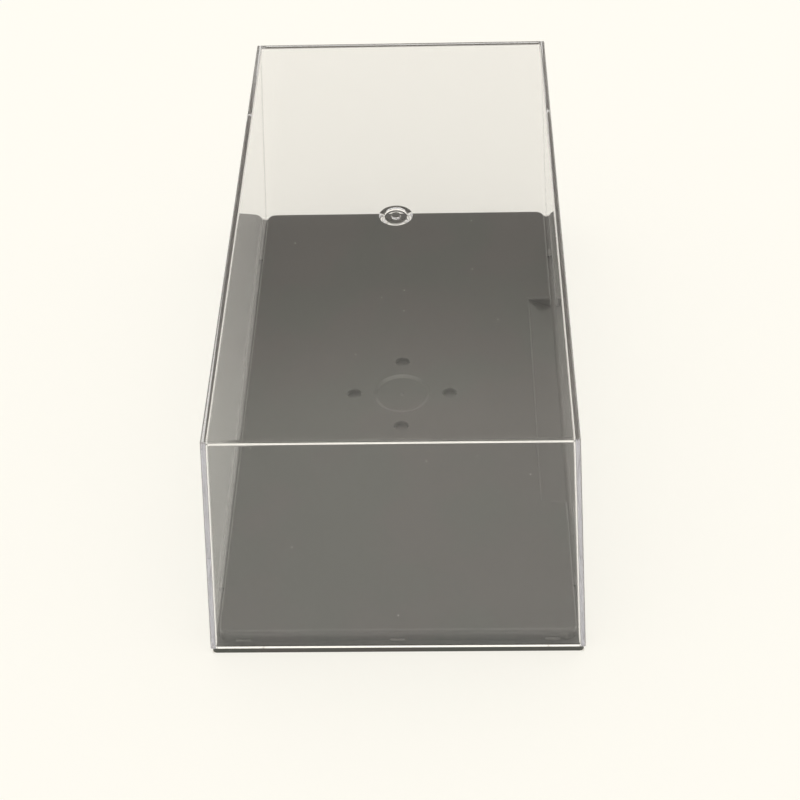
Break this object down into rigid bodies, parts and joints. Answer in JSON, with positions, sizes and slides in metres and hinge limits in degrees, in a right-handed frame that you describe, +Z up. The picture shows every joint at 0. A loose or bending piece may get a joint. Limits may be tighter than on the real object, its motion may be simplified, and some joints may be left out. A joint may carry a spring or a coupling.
{
  "type": "display case",
  "caption": "Long clear tapered lift-off cover standing on a low black base with a raised platform, locating holes and a label slope, for showing a scale model.",
  "frame": {"origin": "centre of the base's underside, on the surface that the case stands on", "axes": "+Z up, +Y along the long side, +X across the case towards the side with the label slope"},
  "size_m": [0.12, 0.232, 0.0886],
  "materials": {
    "black_styrene": "black moulded styrene, polished top with a faint moulding haze",
    "clear_styrene": "water-clear moulded styrene, polished inside and out"
  },
  "bodies": {
    "base": {"base": "black_styrene"},
    "cover": {"cover": "clear_styrene"}
  },
  "joints": [
    {"name": "cover_lift", "type": "slide", "parent": "base", "child": "cover", "axis": [0, 0, 1], "range_m": [0, 0.1]}
  ]
}
